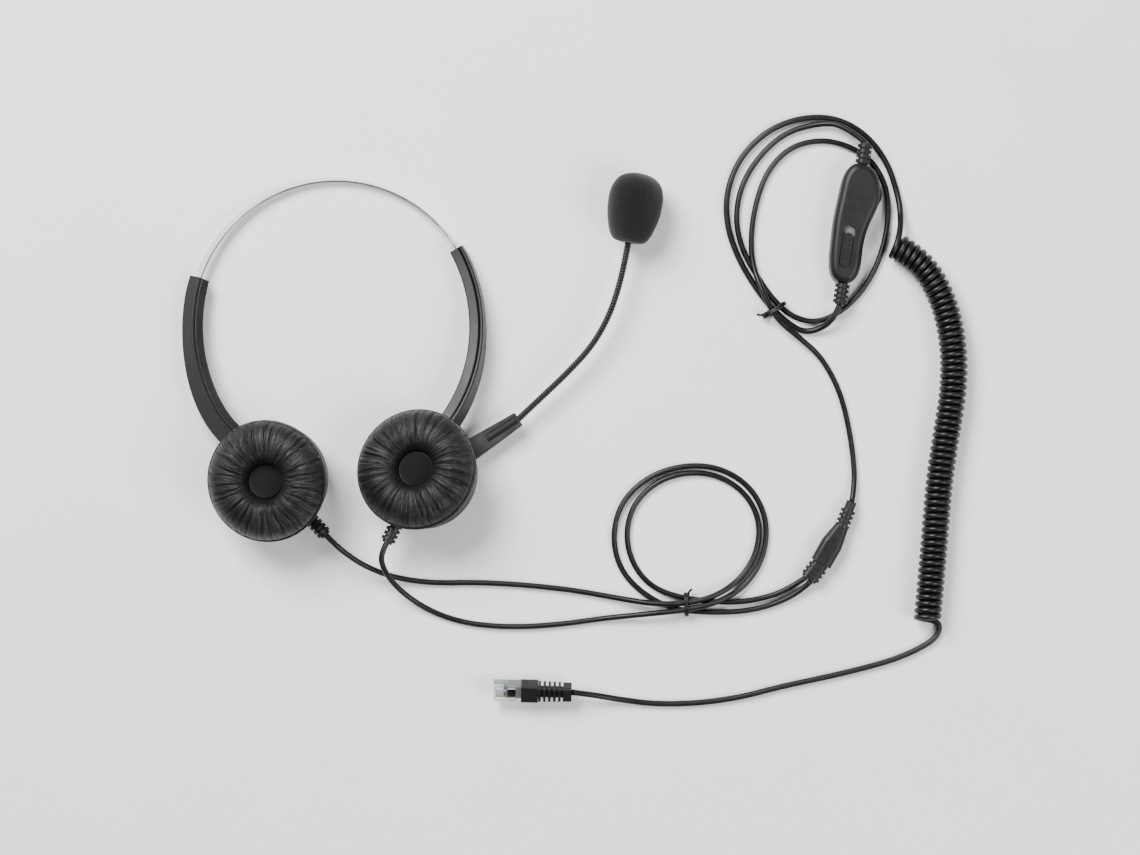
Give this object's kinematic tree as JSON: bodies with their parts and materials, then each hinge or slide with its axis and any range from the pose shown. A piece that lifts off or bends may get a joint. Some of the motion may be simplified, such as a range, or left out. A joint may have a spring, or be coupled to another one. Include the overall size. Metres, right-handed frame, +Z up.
{
  "type": "office headset",
  "caption": "Over-head telephone headset with swivelling cushioned cups, a boom microphone, an in-line control pod and a curly cord ending in a small clear modular plug.",
  "frame": {"origin": "on the surface that the headset lies on, below the middle of the headset without its cord", "axes": "+X to the wearer's microphone side, +Y towards the top of the headband, +Z up from the surface"},
  "size_m": [0.352, 0.2663, 0.0412],
  "materials": {
    "black_abs": "satin moulded ABS",
    "grey_abs": "moulded grey ABS",
    "leatherette": "pleated black leatherette",
    "foam": "fine open-cell foam",
    "spring_steel": "polished spring steel",
    "zinc_steel": "zinc-plated steel",
    "gooseneck_steel": "black ribbed flexible steel",
    "black_pvc": "satin black PVC",
    "component_metal": "stamped metal can",
    "clear_polycarbonate": "clear moulded polycarbonate",
    "gold_contact": "gold-plated bronze",
    "circuit_board": "green solder mask"
  },
  "bodies": {
    "headband": {"headband_strip": "spring_steel", "left_ear_cord": "black_pvc", "right_ear_cord": "black_pvc", "trunk_cord": "black_pvc", "lead_cord": "black_pvc", "curly_cord": "black_pvc", "tail_cord": "black_pvc", "lower_twist_tie": "black_pvc", "upper_twist_tie": "black_pvc", "y_splitter": "black_pvc", "pod_top_shell": "black_abs", "pod_bottom_shell": "black_abs", "pod_screws": "zinc_steel", "pod_circuit_board": "circuit_board", "mute_switch": "component_metal", "volume_pot": "component_metal", "pod_top_relief": "black_pvc", "pod_bottom_relief": "black_pvc", "plug_boot": "black_pvc", "plug_body": "clear_polycarbonate", "plug_contacts": "gold_contact"},
    "left_arm": {"left_arm_inner_shell": "black_abs", "left_arm_cover": "black_abs", "left_arm_friction_pad": "grey_abs", "left_arm_screws": "zinc_steel", "left_swivel_pin": "zinc_steel"},
    "left_cup": {"left_cup_shell": "black_abs", "left_baffle": "black_abs", "left_speaker": "component_metal", "left_ear_cushion": "leatherette", "left_foam_disc": "foam", "left_strain_relief": "black_pvc", "left_cup_screws": "zinc_steel", "left_back_cap": "black_abs"},
    "right_arm": {"right_arm_inner_shell": "black_abs", "right_arm_cover": "black_abs", "right_arm_friction_pad": "grey_abs", "right_arm_screws": "zinc_steel", "right_swivel_pin": "zinc_steel"},
    "right_cup": {"right_cup_shell": "black_abs", "right_baffle": "black_abs", "right_speaker": "component_metal", "right_ear_cushion": "leatherette", "right_foam_disc": "foam", "right_strain_relief": "black_pvc", "right_cup_screws": "zinc_steel"},
    "boom": {"boom_arm": "black_abs", "boom_washer": "zinc_steel", "boom_screw": "zinc_steel", "boom_gooseneck": "gooseneck_steel", "mic_housing": "black_abs", "mic_capsule": "component_metal", "mic_windscreen": "foam"},
    "mute_slider": {"mute_slider": "black_abs", "slider_plate": "grey_abs"},
    "volume_wheel": {"volume_wheel": "black_abs"},
    "plug_latch": {"plug_latch": "clear_polycarbonate"}
  },
  "joints": [
    {"name": "left_arm_adjust", "type": "hinge", "parent": "headband", "child": "left_arm", "pos_m": [-0.04, 0.0173, 0.0083], "axis": [0, -0.0976, -0.9952], "range_deg": [0, 18]},
    {"name": "left_cup_swivel", "type": "hinge", "parent": "left_arm", "child": "left_cup", "pos_m": [-0.0668, -0.05336, 0.01523], "axis": [0.6919, -0.7185, 0.0704], "range_deg": [-104, 60]},
    {"name": "right_arm_adjust", "type": "hinge", "parent": "headband", "child": "right_arm", "pos_m": [-0.04, 0.0173, 0.0083], "axis": [0, 0.0976, 0.9952], "range_deg": [0, 18]},
    {"name": "right_cup_swivel", "type": "hinge", "parent": "right_arm", "child": "right_cup", "pos_m": [-0.0002, -0.05087, 0.01498], "axis": [0.45, 0.8888, -0.0871], "range_deg": [-100, 60]},
    {"name": "boom_rotate", "type": "hinge", "parent": "right_cup", "child": "boom", "pos_m": [0.00181, -0.05283, 0.00539], "axis": [-0.2009, 0.1958, 0.9598], "range_deg": [-115, 20]},
    {"name": "mute_slide", "type": "slide", "parent": "headband", "child": "mute_slider", "axis": [0.1509, 0.9885, 0], "range_m": [0, 0.0032]},
    {"name": "volume_wheel_turn", "type": "hinge", "parent": "headband", "child": "volume_wheel", "pos_m": [0.19762, 0.07379, 0.0068], "axis": [0, 0, 1], "range_deg": [-130, 130]},
    {"name": "plug_latch_flex", "type": "hinge", "parent": "headband", "child": "plug_latch", "pos_m": [0.03186, -0.14632, 0.00371], "axis": [-0.0265, -0.8826, -0.4695], "range_deg": [0, 7], "stiffness_Nm_per_rad": 0.06}
  ]
}
